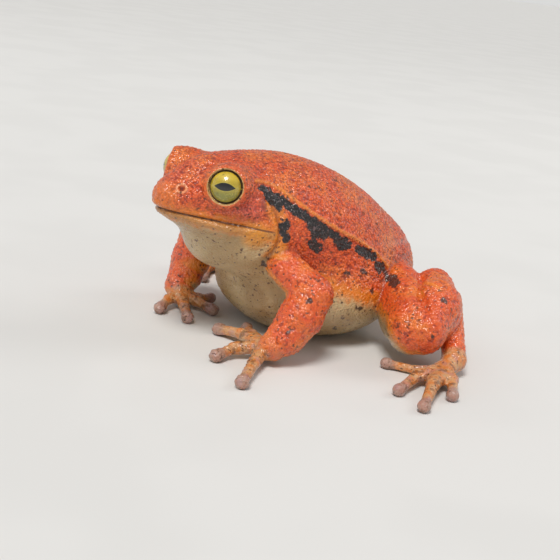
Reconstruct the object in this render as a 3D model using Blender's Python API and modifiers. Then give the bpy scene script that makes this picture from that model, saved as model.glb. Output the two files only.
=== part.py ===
"""Tomato frog sitting with folded legs, life size.

The whole body is one rounded form. It is worked out as a distance field in
millimetres, then parted into head, torso and limbs by thin cuts.
The frog faces -Y, its left side is +X, and it rests on Z = 0.
"""
from math import cos, radians, sin

import bmesh
import bpy
import numpy as np
from mathutils import Matrix, Vector

MM = 0.001
GAP = 0.3
FINE_VOXEL = 0.6
TRIANGLES = 11500

# Balls are (centre, radii, pitch in degrees, blend); pitch lifts the front end.
TRUNK = (
    ((0, 53.2, 27.6), (22.6, 39.4, 19.2), 24, 0),
    ((0, 55.0, 13.2), (27.6, 26.0, 15.0), 0, 8),
    ((0, 75.0, 18.3), (17.4, 14.1, 13.0), 0, 6),
    ((9, 32.0, 29.0), (8.5, 12.0, 11.0), 0, 7),
)
SKULL = (
    ((0, 23.7, 42.2), (14.6, 13.6, 8.3), 7, 0),
    ((0, 8.4, 38.9), (4.6, 6.9, 4.1), 8, 5),
    ((0, 13.6, 38.7), (8.6, 11.2, 4.0), 8, 4),
    ((0, 22.6, 38.0), (16.4, 14.0, 5.8), 8, 4),
    ((0, 12.4, 41.6), (7.0, 9.9, 6.2), -36, 4),
    ((10.3, 17.8, 44.6), (5.0, 6.6, 5.2), 0, 3),
)
JAW = (
    ((0, 13.4, 35.8), (8.6, 10.6, 3.5), 8, 0),
    ((0, 20.9, 33.0), (15.2, 13.2, 5.3), 8, 4),
    ((12.8, 25.2, 33.0), (4.9, 4.8, 4.0), 0, 3),
    ((8.4, 24.8, 29.8), (5.8, 5.6, 4.6), 0, 4),
)
THROAT = ((0, 24.6, 27.8), (12.2, 11.4, 8.8), 0, 5)

EYE = (11.3, 15.0, 44.7)
EYE_RADIUS = 4.7
SOCKET_RADIUS = 5.5
EYE_YAW = 47
EYE_LIFT = 8
LID_OFFSET = 2.2
EYE_OPENING = 4.2
LID_RING = 4.75
LID_ROLL = 0.65

NOSTRIL = (4.0, 6.0, 43.0)
EARDRUM = (15.6, 23.9, 40.3)
MOUTH_CORNER_Y = 23.6
# Folds of skin on the flank, seen from the side: an arc (y, z, radius) and a path of (y, z).
JAW_FOLD = (15.5, 33.3, 13.0)
BACK_FOLD = ((21.5, 46.8), (24.2, 46.5), (26.6, 45.9), (28.8, 45.0), (30.8, 43.8), (34.3, 41.2), (40.0, 37.6),
             (46.5, 34.2), (50.8, 32.3), (56.1, 29.9), (61.0, 26.8), (65.6, 23.0))

# Limb chains are (point, radius) stations. TALL makes a section higher than wide.
ARM = (((18.6, 31.5, 23.7), 5.0), ((28.0, 34.6, 18.6), 5.2))
# Forearm stations are (share of the way from elbow to wrist, outward and rearward shift, radius).
FOREARM = ((0, 0, 0, 5.2), (0.42, 0.5, 1.2, 5.8), (0.8, 0.5, 1.5, 4.9), (1, 0, 0, 3.8))
LEFT_WRIST = (27.2, 24.0, 5.2)
RIGHT_WRIST = (-25.0, 27.2, 5.2)
TALL = 1.22
THIGH = (((14.5, 73.6, 16.2), 7.2), ((26.0, 69.8, 14.2), 6.5), ((33.0, 65.8, 12.4), 7.2), ((41.2, 59.0, 12.0), 6.2))
SHANK = (((46.4, 60.8, 12.2), 5.2), ((41.2, 68.4, 15.4), 6.3), ((31.6, 76.8, 16.4), 6.1))
KNEE = ((43.4, 59.0, 11.6), (5.5, 5.3, 6.3))
LEG_CREASE = ((31.5, 70.8, 21.6), (35.6, 66.9, 20.6), (42.3, 61.3, 19.2), (47.0, 58.8, 17.6))
LEG_UNDERSIDE = 3.9
HEEL = ((35.4, 79.8, 15.2), 3.6)
TARSUS_RADIUS = 3.2
LEFT_ANKLE = (50.6, 68.6, 4.2)
RIGHT_ANKLE = (-51.0, 68.8, 4.2)

# Digits are (bend, tip, root radius, pad radius) from a common palm point.
LEFT_HAND = ((23.4, 24.8, 3.4), (
    ((12.4, 28.6, 2.4), (4.6, 32.2, 1.6), 1.5, 1.6),
    ((11.0, 25.6, 2.8), (3.2, 23.4, 1.7), 1.5, 1.8),
    ((19.6, 17.4, 2.8), (20.4, 11.0, 1.7), 1.6, 1.85),
    ((30.4, 15.8, 2.8), (37.8, 7.0, 1.7), 1.6, 1.85)))
RIGHT_HAND = ((-22.4, 26.6, 3.4), (
    ((-20.8, 21.6, 2.8), (-17.6, 16.8, 1.7), 1.5, 1.8),
    ((-15.0, 23.4, 2.8), (-8.0, 20.2, 1.7), 1.5, 1.8),
    ((-17.0, 29.4, 2.6), (-11.6, 31.4, 1.7), 1.45, 1.8),
    ((-20.8, 32.4, 2.3), (-21.4, 37.2, 1.6), 1.4, 1.6)))
LEFT_FOOT = ((52.4, 63.6, 2.7), (
    ((47.4, 58.2, 1.4), (40.4, 53.4, 1.5), 1.25, 1.6),
    ((52.6, 53.6, 2.8), (56.4, 43.0, 1.6), 1.7, 1.65),
    ((59.6, 51.8, 3.0), (66.8, 41.8, 1.6), 1.75, 1.7),
    ((58.8, 59.8, 2.8), (64.4, 54.4, 1.6), 1.6, 1.65)))
RIGHT_FOOT = ((-51.8, 64.0, 2.7), (
    ((-45.4, 57.6, 1.4), (-38.6, 53.2, 1.5), 1.25, 1.6),
    ((-47.4, 53.4, 2.1), (-40.4, 47.0, 1.7), 1.45, 1.75),
    ((-48.6, 53.0, 2.8), (-46.2, 43.0, 1.7), 1.75, 1.9),
    ((-51.8, 57.6, 2.8), (-52.4, 50.6, 1.7), 1.65, 1.8)))


def mirrored(point):
    """The same point on the other side of the body."""
    return (-point[0],) + tuple(point[1:])


def ahead(point, direction, distance):
    """The point moved along a direction."""
    return tuple(Vector(point) + distance * Vector(direction))


EYE_AXIS = (sin(radians(EYE_YAW)) * cos(radians(EYE_LIFT)),
            -cos(radians(EYE_YAW)) * cos(radians(EYE_LIFT)),
            sin(radians(EYE_LIFT)))


def ball_distance(points, centre, radii, pitch):
    """Distance to an ellipsoid that is pitched about X."""
    q = points - np.array(centre, np.float32)
    c, s = cos(radians(pitch)), sin(radians(pitch))
    q = np.stack([q[..., 0], q[..., 1] * c - q[..., 2] * s, q[..., 1] * s + q[..., 2] * c], -1)
    r = np.array(radii, np.float32)
    near = np.sqrt(((q / r) ** 2).sum(-1))
    far = np.sqrt(((q / (r * r)) ** 2).sum(-1)) + 1e-9
    return near * (near - 1) / far


def bone_distance(points, start, end, start_radius, end_radius, tall=1.0):
    """Distance to a tapered round bar."""
    a, b = np.array(start, np.float32), np.array(end, np.float32)
    ab = b - a
    t = np.clip((points - a) @ ab / (ab @ ab), 0, 1)
    off = points - a - t[..., None] * ab
    off[..., 2] /= tall
    return np.sqrt((off ** 2).sum(-1)) - (start_radius + t * (end_radius - start_radius))


def ring_distance(points, centre, axis, radius, roll):
    """Distance to a torus."""
    q = points - np.array(centre, np.float32)
    height = q @ np.array(axis, np.float32)
    reach = np.sqrt(np.maximum((q ** 2).sum(-1) - height * height, 0))
    return np.sqrt((reach - radius) ** 2 + height * height) - roll


def blend(a, b, width):
    """Union of two distances with a fillet."""
    h = np.clip(0.5 + 0.5 * (b - a) / width, 0, 1)
    return b + (a - b) * h - width * h * (1 - h)


def bump(distance, width):
    """A rounded bump, 1 in the middle and 0 a few widths away."""
    return np.exp(-(distance / width) ** 2)


def side_distance(q, path):
    """Distance to a path drawn on the side of the body, seen along X."""
    result = None
    for a, b in zip(path, path[1:]):
        start, span = np.array(a, np.float32), np.array(b, np.float32) - np.array(a, np.float32)
        off = q[..., 1:] - start
        t = np.clip(off @ span / (span @ span), 0, 1)
        d = np.sqrt(((off - t[..., None] * span) ** 2).sum(-1))
        result = d if result is None else np.minimum(result, d)
    return result


def balls_distance(points, balls):
    """Distance to a group of balls, each blended into those before it."""
    result = None
    for centre, radii, pitch, width in balls:
        d = ball_distance(points, centre, radii, pitch)
        result = d if result is None else blend(result, d, width)
    return result


def chain_distance(points, stations, width, tall=1.0):
    """Distance to a chain of bones."""
    result = None
    for (a, ra), (b, rb) in zip(stations, stations[1:]):
        d = bone_distance(points, a, b, ra, rb, tall)
        result = d if result is None else blend(result, d, width)
    return result


def mouth_height(y):
    """Height of the line of the mouth, which drops towards its corner."""
    return 37.1 - 0.125 * y


def head_distance(q):
    """Skull, jaw and throat with the line of the mouth, nostrils, lids and eardrum."""
    skull = balls_distance(q, SKULL)
    jaw = balls_distance(q, JAW)
    d = blend(skull, jaw, 1.2)
    front = 1 / (1 + np.exp(np.clip((q[..., 1] - MOUTH_CORNER_Y) * 3, -30, 30)))
    lip = q[..., 2] - mouth_height(q[..., 1])
    d += front * (0.7 * bump(lip, 0.5) - 0.2 * bump(lip - 1.3, 0.8) - 0.2 * bump(lip + 1.4, 0.9))
    d = blend(d, ball_distance(q, *THROAT[:3]), THROAT[3])
    away = np.sqrt(((q - np.array(NOSTRIL, np.float32)) ** 2).sum(-1))
    d += 1.1 * bump(away, 0.75) - 0.35 * bump(away - 1.45, 0.5)
    away = np.sqrt((((q - np.array(EARDRUM, np.float32)) / np.array((1, 0.8, 1.15))) ** 2).sum(-1))
    d += 0.3 * bump(away, 1.6) - 0.22 * bump(away - 2.4, 0.6)
    from_eye = q - np.array(EYE, np.float32)
    forward = from_eye @ np.array(EYE_AXIS, np.float32)
    away = np.sqrt((from_eye ** 2).sum(-1))
    cup = -blend(SOCKET_RADIUS - away, LID_OFFSET - forward, 1.0)
    d = blend(d, cup, 3.0)
    lid = ahead(EYE, EYE_AXIS, LID_OFFSET)
    d = blend(d, ring_distance(q, lid, EYE_AXIS, LID_RING, LID_ROLL), 0.8)
    # The lids stand open in front of the eye, down to just under its surface.
    reach = np.sqrt(np.maximum(away ** 2 - forward ** 2, 0))
    opening = np.maximum(reach - EYE_OPENING, np.maximum(EYE_RADIUS - 0.3 - away, 1.0 - forward))
    return -blend(-d, opening, 0.4)


def digits_distance(points, root, palm, digits):
    """Distance to a hand or foot: a palm and its digits with round pads."""
    d = bone_distance(points, root, palm, 3.2, 2.5)
    for bend, tip, root_radius, pad in digits:
        digit = bone_distance(points, palm, bend, root_radius + 0.4, root_radius)
        digit = blend(digit, bone_distance(points, bend, tip, root_radius, pad - 0.35), 0.8)
        digit = blend(digit, ball_distance(points, tip, (pad, pad, pad * 0.95), 0), 0.8)
        d = blend(d, digit, 1.4)
    return d


def arm_stations(side, wrist):
    """Shoulder, elbow and wrist stations of one arm, as upper arm and forearm."""
    upper = [((side * p[0], p[1], p[2]), r) for p, r in ARM]
    elbow = upper[1][0]
    forearm = []
    for share, out, rear, radius in FOREARM:
        x, y, z = (e + share * (w - e) for e, w in zip(elbow, wrist))
        forearm.append(((x + side * out, y + rear, z), radius))
    return upper, forearm


def leg_stations(side, ankle):
    """Stations of one hind leg, as thigh, shank and tarsus."""
    thigh = [((side * p[0], p[1], p[2]), r) for p, r in THIGH]
    shank = [((side * p[0], p[1], p[2]), r) for p, r in SHANK]
    heel = (side * HEEL[0][0],) + HEEL[0][1:]
    return thigh, shank, [(heel, HEEL[1]), (ankle, TARSUS_RADIUS)]


def frog_distance(points):
    """Distance to the whole frog, clipped flat where it rests."""
    p = np.asarray(points, np.float32)
    q = p.copy()
    q[..., 0] = np.abs(q[..., 0])
    d = blend(balls_distance(q, TRUNK), head_distance(q), 4)
    side_only = np.clip((q[..., 0] - 7) / 3, 0, 1)
    fold = np.hypot(q[..., 1] - JAW_FOLD[0], q[..., 2] - JAW_FOLD[1]) - JAW_FOLD[2]
    behind = bump(np.maximum(24 - q[..., 1], 0), 1.5) * bump(np.maximum(np.abs(q[..., 2] - 34) - 7, 0), 1.5)
    d += side_only * behind * (0.5 * bump(fold, 0.9) - 0.3 * bump(np.abs(fold) - 1.8, 1.1))
    d -= side_only * 0.45 * bump(side_distance(q, BACK_FOLD), 0.9)
    for side, wrist, hand in ((1, LEFT_WRIST, LEFT_HAND), (-1, RIGHT_WRIST, RIGHT_HAND)):
        upper, forearm = arm_stations(side, wrist)
        arm = blend(chain_distance(p, upper, 1), chain_distance(p, forearm, 1), 1.5)
        arm = blend(arm, digits_distance(p, wrist, *hand), 1.2)
        d = blend(d, arm, 1.6)
    for side, ankle, foot in ((1, LEFT_ANKLE, LEFT_FOOT), (-1, RIGHT_ANKLE, RIGHT_FOOT)):
        thigh, shank, tarsus = leg_stations(side, ankle)
        leg = blend(chain_distance(p, thigh, 3, TALL), chain_distance(p, shank, 3, TALL), 1.0)
        knee = ((side * KNEE[0][0],) + KNEE[0][1:], KNEE[1], 0)
        leg = blend(leg, ball_distance(p, *knee), 2.5)
        crease = chain_distance(p, [((side * x, y, z), 0) for x, y, z in LEG_CREASE], 0.1)
        leg += 0.8 * bump(crease, 1.2)
        leg = -blend(-leg, p[..., 2] - LEG_UNDERSIDE, 1.0)
        leg = blend(leg, chain_distance(p, tarsus, 1), 0.8)
        leg = blend(leg, digits_distance(p, ankle, *foot), 1.0)
        d = blend(d, leg, 1.3)
    return np.maximum(d, -p[..., 2])


# The body as a mesh, parted into named pieces

NECK_CUT = ((0, 26.5, 37.0), (0, 31, -12), (76, 44))
SHOULDER_CUT = ((21.5, 33.4, 21.6), (0.976, -0.22, 0.0), (19, 19))
HIP_CUT = ((25.0, 69.0, 13.6), (0.959, 0.284, 0.0), (30, 28))
KNEE_CUT = ((35.7, 66.96, 16.6), (0.612, 0.79, 0.0), (37.5, 26.8))
HEEL_CUT = ((40.2, 76.5, 12.6), (0.493, 0.719, -0.49), (15, 30))
ALONG_TARSUS = (0.68, -0.61, -0.33)

SKIN = (0.72, 0.13, 0.03)
LIMB = (0.78, 0.17, 0.04)
DIGIT = (0.70, 0.33, 0.12)
IRIS = (0.42, 0.36, 0.05)
# Every piece of flesh is known by a point near its middle.
PIECES = {
    "head": (0, 16, 41),
    "torso": (0, 51, 22),
    "upper_arm_left": (25.3, 34.4, 20.8),
    "upper_arm_right": (-25.3, 34.4, 20.8),
    "forearm_left": (28.4, 31.9, 13.9),
    "forearm_right": (-27.5, 32.8, 13.7),
    "hand_left": (21.6, 20.3, 3.1),
    "hand_right": (-18.9, 26.4, 3.2),
    "thigh_left": (34.4, 64.6, 13.7),
    "thigh_right": (-34.4, 64.6, 13.7),
    "shank_left": (41.0, 70.1, 14.4),
    "shank_right": (-41.0, 70.1, 14.4),
    "foot_left": (52.4, 59.4, 4.4),
    "foot_right": (-46.0, 60.6, 4.8),
}


def matrix_between(start, end, scale):
    """Place a unit shape, upright on Z, between two points."""
    a, b = Vector(start), Vector(end)
    turn = (b - a).to_track_quat("Z", "Y").to_matrix().to_4x4()
    return Matrix.Translation((a + b) / 2) @ Matrix.Diagonal((1, 1, scale, 1)) @ turn


def add_ball(bm, centre, radii, pitch):
    """Add an ellipsoid."""
    place = Matrix.Translation(centre) @ Matrix.Rotation(radians(-pitch), 4, "X")
    bmesh.ops.create_icosphere(bm, subdivisions=4 if max(radii) > 8 else 3, radius=1,
                               matrix=place @ Matrix.Diagonal((*radii, 1)))


def add_bone(bm, start, end, start_radius, end_radius, tall=1.0):
    """Add a tapered bar with round ends."""
    length = (Vector(end) - Vector(start)).length
    bmesh.ops.create_cone(bm, cap_ends=True, segments=24, radius1=start_radius, radius2=end_radius,
                          depth=length, matrix=matrix_between(start, end, tall))
    for point, radius in ((start, start_radius), (end, end_radius)):
        add_ball(bm, point, (radius, radius, radius * tall), 0)


def add_digits(bm, root, palm, digits):
    """Add a palm and its digits."""
    add_bone(bm, root, palm, 3.2, 2.5)
    for bend, tip, root_radius, pad in digits:
        add_bone(bm, palm, bend, root_radius + 0.4, root_radius)
        add_bone(bm, bend, tip, root_radius, pad - 0.35)
        add_ball(bm, tip, (pad, pad, pad), 0)


def mesh_object(name, bm):
    """Turn a bmesh into an object of the scene."""
    mesh = bpy.data.meshes.new(name)
    bm.to_mesh(mesh)
    bm.free()
    thing = bpy.data.objects.new(name, mesh)
    bpy.context.scene.collection.objects.link(thing)
    return thing


def rough_body():
    """All the balls and bones in one mesh, still as separate overlapping shells."""
    bm = bmesh.new()
    for centre, radii, pitch, *_ in TRUNK + SKULL + JAW + (THROAT,):
        add_ball(bm, centre, radii, pitch)
        if centre[0]:
            add_ball(bm, mirrored(centre), radii, pitch)
    for centre in (EYE, mirrored(EYE)):
        add_ball(bm, centre, (SOCKET_RADIUS,) * 3, 0)
    for side, wrist, hand in ((1, LEFT_WRIST, LEFT_HAND), (-1, RIGHT_WRIST, RIGHT_HAND)):
        for stations in arm_stations(side, wrist):
            for (a, ra), (b, rb) in zip(stations, stations[1:]):
                add_bone(bm, a, b, ra, rb)
        add_digits(bm, wrist, *hand)
    for side, ankle, foot in ((1, LEFT_ANKLE, LEFT_FOOT), (-1, RIGHT_ANKLE, RIGHT_FOOT)):
        for stations, tall in zip(leg_stations(side, ankle), (TALL, TALL, 1.0)):
            for (a, ra), (b, rb) in zip(stations, stations[1:]):
                add_bone(bm, a, b, ra, rb, tall)
        add_ball(bm, (side * KNEE[0][0],) + KNEE[0][1:], KNEE[1], 0)
        add_digits(bm, ankle, *foot)
    return mesh_object("body", bm)


def apply_modifier(thing, kind, **settings):
    """Add a modifier and keep its result as the object's mesh."""
    modifier = thing.modifiers.new(kind, kind)
    for key, value in settings.items():
        setattr(modifier, key, value)
    bpy.context.view_layer.update()
    evaluated = thing.evaluated_get(bpy.context.evaluated_depsgraph_get())
    mesh = bpy.data.meshes.new_from_object(evaluated)
    thing.modifiers.clear()
    thing.data = mesh


def settle(thing, distance, rounds):
    """Move every vertex onto the surface where the distance is zero."""
    count = len(thing.data.vertices)
    points = np.empty(count * 3, np.float32)
    thing.data.vertices.foreach_get("co", points)
    points = points.reshape(count, 3)
    step = 0.05
    for _ in range(rounds):
        value = distance(points)
        slope = np.stack([(distance(points + axis) - distance(points - axis)) / (2 * step)
                          for axis in np.eye(3, dtype=np.float32) * step], -1)
        steep = np.maximum((slope ** 2).sum(-1), 0.25)
        move = np.clip(value / steep, -1.0, 1.0)
        points = points - move[:, None] * slope
    thing.data.vertices.foreach_set("co", points.ravel())
    thing.data.update()


def smooth_body():
    """The whole frog as one closed mesh."""
    body = rough_body()
    for rounds in (3, 2):
        apply_modifier(body, "REMESH", mode="VOXEL", voxel_size=FINE_VOXEL)
        settle(body, frog_distance, rounds)
    faces = len(body.data.polygons) * 2
    apply_modifier(body, "DECIMATE", decimate_type="COLLAPSE", ratio=TRIANGLES / faces)
    for vert in body.data.vertices:
        if vert.co.z < 0.06:
            vert.co.z = 0
    return body


def slab(centre, normal, size, up=(0, 0, 1)):
    """A thin box across a normal; its sides run along the level and the up direction."""
    z_axis = Vector(normal).normalized()
    x_axis = Vector(up).cross(z_axis).normalized()
    y_axis = z_axis.cross(x_axis)
    turn = Matrix((x_axis, y_axis, z_axis)).transposed().to_4x4()
    bm = bmesh.new()
    place = Matrix.Translation(centre) @ turn @ Matrix.Diagonal((*size, GAP, 1))
    bmesh.ops.create_cube(bm, size=1, matrix=place)
    return mesh_object("slab", bm)


def side_cuts(side, wrist):
    """The slabs that part the limbs of one side."""
    flip = Vector((side, 1, 1))
    cuts = [slab(flip * Vector(c), flip * Vector(n), size)
            for c, n, size in (SHOULDER_CUT, HIP_CUT, KNEE_CUT)]
    upper, forearm = arm_stations(side, wrist)
    shoulder, elbow, hand_root = (Vector(s[0]) for s in (upper[0], upper[1], forearm[-1]))
    down_arm, down_forearm = (elbow - shoulder).normalized(), (hand_root - elbow).normalized()
    cuts.append(slab(elbow, down_arm + down_forearm, (15, 15)))
    cuts.append(slab(hand_root - 3.4 * down_forearm, down_forearm, (15.4, 15.4)))
    centre, normal, size = HEEL_CUT
    cuts.append(slab(flip * Vector(centre), flip * Vector(normal), size, flip * Vector(ALONG_TARSUS)))
    return cuts


def cut_away(body, cutter):
    """Take a cutter out of the body."""
    apply_modifier(body, "BOOLEAN", operation="DIFFERENCE", solver="EXACT", object=cutter)
    bpy.data.objects.remove(cutter)


def eyeball(name, centre, radius):
    """A round eye, its poles turned to look along the axis of the eye."""
    bm = bmesh.new()
    side = 1 if centre[0] > 0 else -1
    turn = Vector((side * EYE_AXIS[0], *EYE_AXIS[1:])).to_track_quat("Z", "Y").to_matrix().to_4x4()
    bmesh.ops.create_uvsphere(bm, u_segments=24, v_segments=14, radius=radius,
                              matrix=Matrix.Translation(centre) @ turn)
    return mesh_object(name, bm)


def loose_pieces(body):
    """The closed surfaces that the cuts left, each as vertices and faces."""
    bm = bmesh.new()
    bm.from_mesh(body.data)
    seen, pieces = set(), []
    for first in bm.verts:
        if first in seen:
            continue
        seen.add(first)
        piece, todo = [], [first]
        while todo:
            vert = todo.pop()
            piece.append(vert)
            for edge in vert.link_edges:
                other = edge.other_vert(vert)
                if other not in seen:
                    seen.add(other)
                    todo.append(other)
        pieces.append(piece)
    return bm, pieces


def part_body(body):
    """Make one object of each named piece and drop the whole body with any scrap."""
    bm, pieces = loose_pieces(body)
    middles = [sum((vert.co for vert in piece), Vector()) / len(piece) for piece in pieces]
    made = []
    for name, point in PIECES.items():
        chosen = min(range(len(pieces)), key=lambda i: (middles[i] - Vector(point)).length)
        piece = pieces[chosen]
        index = {vert: i for i, vert in enumerate(piece)}
        faces = {face for vert in piece for face in vert.link_faces}
        faces = sorted(faces, key=lambda face: face.index)
        mesh = bpy.data.meshes.new(name)
        mesh.from_pydata([vert.co for vert in piece], [],
                         [[index[vert] for vert in face.verts] for face in faces])
        thing = bpy.data.objects.new(name, mesh)
        bpy.context.scene.collection.objects.link(thing)
        made.append(thing)
    bm.free()
    bpy.data.objects.remove(body)
    return made


def material(name, colour, roughness):
    """A plain skin or eye material."""
    made = bpy.data.materials.new(name)
    made.use_nodes = True
    shader = made.node_tree.nodes["Principled BSDF"]
    shader.inputs["Base Color"].default_value = (*colour, 1)
    shader.inputs["Roughness"].default_value = roughness
    return made


def remove_all():
    """Start from an empty scene."""
    for thing in list(bpy.data.objects):
        bpy.data.objects.remove(thing)


def build():
    """Make the frog, part it, and place it in metres over the origin."""
    body = smooth_body()
    for side in (1, -1):
        centre = (side * EYE[0], *EYE[1:])
        cut_away(body, eyeball("socket", centre, EYE_RADIUS + GAP))
    cutters = [slab(*NECK_CUT)]
    cutters += side_cuts(1, LEFT_WRIST)
    cutters += side_cuts(-1, RIGHT_WRIST)
    for cutter in cutters:
        cut_away(body, cutter)
    parts = part_body(body)
    parts.append(eyeball("eye_left", EYE, EYE_RADIUS))
    parts.append(eyeball("eye_right", mirrored(EYE), EYE_RADIUS))

    low = Vector([min(v.co[i] for thing in parts for v in thing.data.vertices) for i in range(3)])
    high = Vector([max(v.co[i] for thing in parts for v in thing.data.vertices) for i in range(3)])
    shift = Matrix.Translation((-(low.x + high.x) / 2, -(low.y + high.y) / 2, 0))
    collection = bpy.data.collections.new("tomato_frog")
    bpy.context.scene.collection.children.link(collection)
    root = bpy.data.objects.new("frog_origin", None)
    collection.objects.link(root)
    for thing in parts:
        thing.data.transform(Matrix.Scale(MM, 4) @ shift)
        middle = sum((v.co for v in thing.data.vertices), Vector()) / len(thing.data.vertices)
        thing.data.transform(Matrix.Translation(-middle))
        thing.location = middle
        thing.parent = root
        thing.data.shade_smooth()
        thing.data.set_sharp_from_angle(angle=radians(50))
        bpy.context.scene.collection.objects.unlink(thing)
        collection.objects.link(thing)
        if thing.name.startswith("eye"):
            colour, roughness = IRIS, 0.05
        elif thing.name.startswith(("hand", "foot")):
            colour, roughness = DIGIT, 0.35
        elif thing.name in ("head", "torso"):
            colour, roughness = SKIN, 0.35
        else:
            colour, roughness = LIMB, 0.35
        thing.data.materials.append(material(thing.name + "_skin", colour, roughness))


remove_all()
build()
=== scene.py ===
"""Looks of the tomato frog: one detailed skin, glossy eyes, the floor, the light and the camera.

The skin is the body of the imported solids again, worked out finer. All shapes are in millimetres in
the maker's frame (the frog faces -Y, its left side is +X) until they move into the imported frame.
"""
from math import cos, radians, sin

import bmesh
import bpy
import numpy as np
from mathutils import Matrix, Vector


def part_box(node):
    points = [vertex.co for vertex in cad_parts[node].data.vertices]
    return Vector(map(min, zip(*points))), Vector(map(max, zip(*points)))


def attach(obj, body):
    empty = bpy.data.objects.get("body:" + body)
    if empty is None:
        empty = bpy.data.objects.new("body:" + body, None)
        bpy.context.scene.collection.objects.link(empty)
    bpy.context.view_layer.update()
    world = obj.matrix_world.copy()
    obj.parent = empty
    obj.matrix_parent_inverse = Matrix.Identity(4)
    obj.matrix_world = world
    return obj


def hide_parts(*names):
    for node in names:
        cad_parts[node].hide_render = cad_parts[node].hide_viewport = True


MM = 0.001
COARSE_VOXEL = 0.6
FINE_VOXEL = 0.36
# A distance past every mark of the skin, for points where a mark doesn't belong.
FAR = 20

# The photograph's camera, in degrees, millimetres and pixels. It shows the target point at the pixel.
CAMERA_AZIMUTH = 49.35
CAMERA_HEIGHT = 15.04
CAMERA_ROLL = 7.63
CAMERA_DISTANCE = 300
CAMERA_TARGET = (15, 42, 24)
TARGET_PIXEL = (306.4, 260.2)
FOCAL_PIXELS = 1084.8
IMAGE_PIXELS = 560
SENSOR_MM = 36

FLOOR_RADIUS = 12

# Balls are (centre, radii, pitch in degrees, blend); pitch lifts the front end.
TRUNK = (
    ((0, 53.2, 27.6), (22.6, 39.4, 19.2), 24, 0),
    ((0, 55.0, 13.2), (27.6, 26.0, 15.0), 0, 8),
    ((0, 75.0, 18.3), (17.4, 14.1, 13.0), 0, 6),
    ((9, 32.0, 29.0), (8.5, 12.0, 11.0), 0, 7),
)
SKULL = (
    ((0, 23.7, 42.2), (14.6, 13.6, 8.3), 7, 0),
    ((0, 8.4, 38.9), (4.6, 6.9, 4.1), 8, 5),
    ((0, 13.6, 38.7), (8.6, 11.2, 4.0), 8, 4),
    ((0, 22.6, 38.0), (16.4, 14.0, 5.8), 8, 4),
    ((0, 12.4, 41.6), (7.0, 9.9, 6.2), -36, 4),
    ((10.3, 17.8, 44.6), (5.0, 6.6, 5.2), 0, 3),
)
JAW = (
    ((0, 13.4, 35.8), (8.6, 10.6, 3.5), 8, 0),
    ((0, 20.9, 33.0), (15.2, 13.2, 5.3), 8, 4),
    ((12.8, 25.2, 33.0), (4.9, 4.8, 4.0), 0, 3),
    ((8.4, 24.8, 29.8), (5.8, 5.6, 4.6), 0, 4),
)
THROAT = ((0, 24.6, 27.8), (12.2, 11.4, 8.8), 0, 5)

# The left eye looks outward by the yaw and upward by the lift, in degrees.
EYE = (11.3, 15.0, 44.7)
EYE_RADIUS = 4.7
SOCKET_RADIUS = 5.5
EYE_YAW = 47
EYE_LIFT = 8
LID_OFFSET = 2.2
# The lids are a rolled ring around an opening, and the skin's edge on the eyeball is a true circle.
LID_RING = 4.75
LID_ROLL = 0.65
EYE_OPENING = 4.55
LID_EDGE = 4.35
# How far below the eyeball's radius the skin lies at that circle and inside it.
EDGE_DEPTH = 0.08
INNER_DEPTH = 0.5

NOSTRIL = (4.9, 5.4, 42.9)
EARDRUM = (15.6, 23.9, 40.3)
MOUTH_CORNER_Y = 23.2
# Folds of skin on the flank, seen from the side: an arc (y, z, radius) and a path of (y, z).
JAW_FOLD = (15.5, 33.3, 13.0)
BACK_FOLD = ((21.5, 46.8), (24.2, 46.5), (26.6, 45.9), (28.8, 45.0), (30.8, 43.8), (34.3, 41.2), (40.0, 37.6),
             (46.5, 34.2), (50.8, 32.3), (56.1, 29.9), (61.0, 26.8), (65.6, 23.0))

# Limb chains are (point, radius) stations. TALL makes a section higher than wide.
ARM = (((18.6, 31.5, 23.7), 5.0), ((28.0, 34.6, 18.6), 5.2))
# Forearm stations are (share of the way from elbow to wrist, outward and rearward shift, radius).
FOREARM = ((0, 0, 0, 5.2), (0.42, 0.5, 1.2, 5.8), (0.8, 0.5, 1.5, 4.9), (1, 0, 0, 3.8))
LEFT_WRIST = (27.2, 24.0, 5.2)
RIGHT_WRIST = (-25.0, 27.2, 5.2)
TALL = 1.22
THIGH = (((14.5, 73.6, 16.2), 7.2), ((26.0, 69.8, 14.2), 6.5),
         ((33.0, 65.8, 12.4), 7.2), ((41.2, 59.0, 12.0), 6.2))
SHANK = (((46.4, 60.8, 12.2), 5.2), ((41.2, 68.4, 15.4), 6.3), ((31.6, 76.8, 16.4), 6.1))
KNEE = ((43.4, 59.0, 11.6), (5.5, 5.3, 6.3))
LEG_CREASE = ((31.5, 70.8, 21.6), (35.6, 66.9, 20.6), (42.3, 61.3, 19.2), (47.0, 58.8, 17.6))
LEG_UNDERSIDE = 3.9
HEEL = ((35.4, 79.8, 15.2), 3.6)
TARSUS_RADIUS = 3.2
LEFT_ANKLE = (50.6, 68.6, 4.2)
RIGHT_ANKLE = (-51.0, 68.8, 4.2)

# Digits are (bend, tip, root radius, pad radius) from a common palm point. They widen into the palm.
PALM_RADII = (3.2, 2.5)
DIGIT_FLARE = 0.4
LEFT_HAND = ((23.4, 24.8, 3.4), (
    ((12.4, 28.6, 2.4), (4.6, 32.2, 1.6), 1.5, 1.6),
    ((11.0, 25.6, 2.8), (3.2, 23.4, 1.7), 1.5, 1.8),
    ((19.6, 17.4, 2.8), (20.4, 11.0, 1.7), 1.6, 1.85),
    ((30.4, 15.8, 2.8), (37.8, 7.0, 1.7), 1.6, 1.85)))
RIGHT_HAND = ((-22.4, 26.6, 3.4), (
    ((-20.8, 21.6, 2.8), (-17.6, 16.8, 1.7), 1.5, 1.8),
    ((-15.0, 23.4, 2.8), (-8.0, 20.2, 1.7), 1.5, 1.8),
    ((-17.0, 29.4, 2.6), (-11.6, 31.4, 1.7), 1.45, 1.8),
    ((-20.8, 32.4, 2.3), (-21.4, 37.2, 1.6), 1.4, 1.6)))
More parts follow.
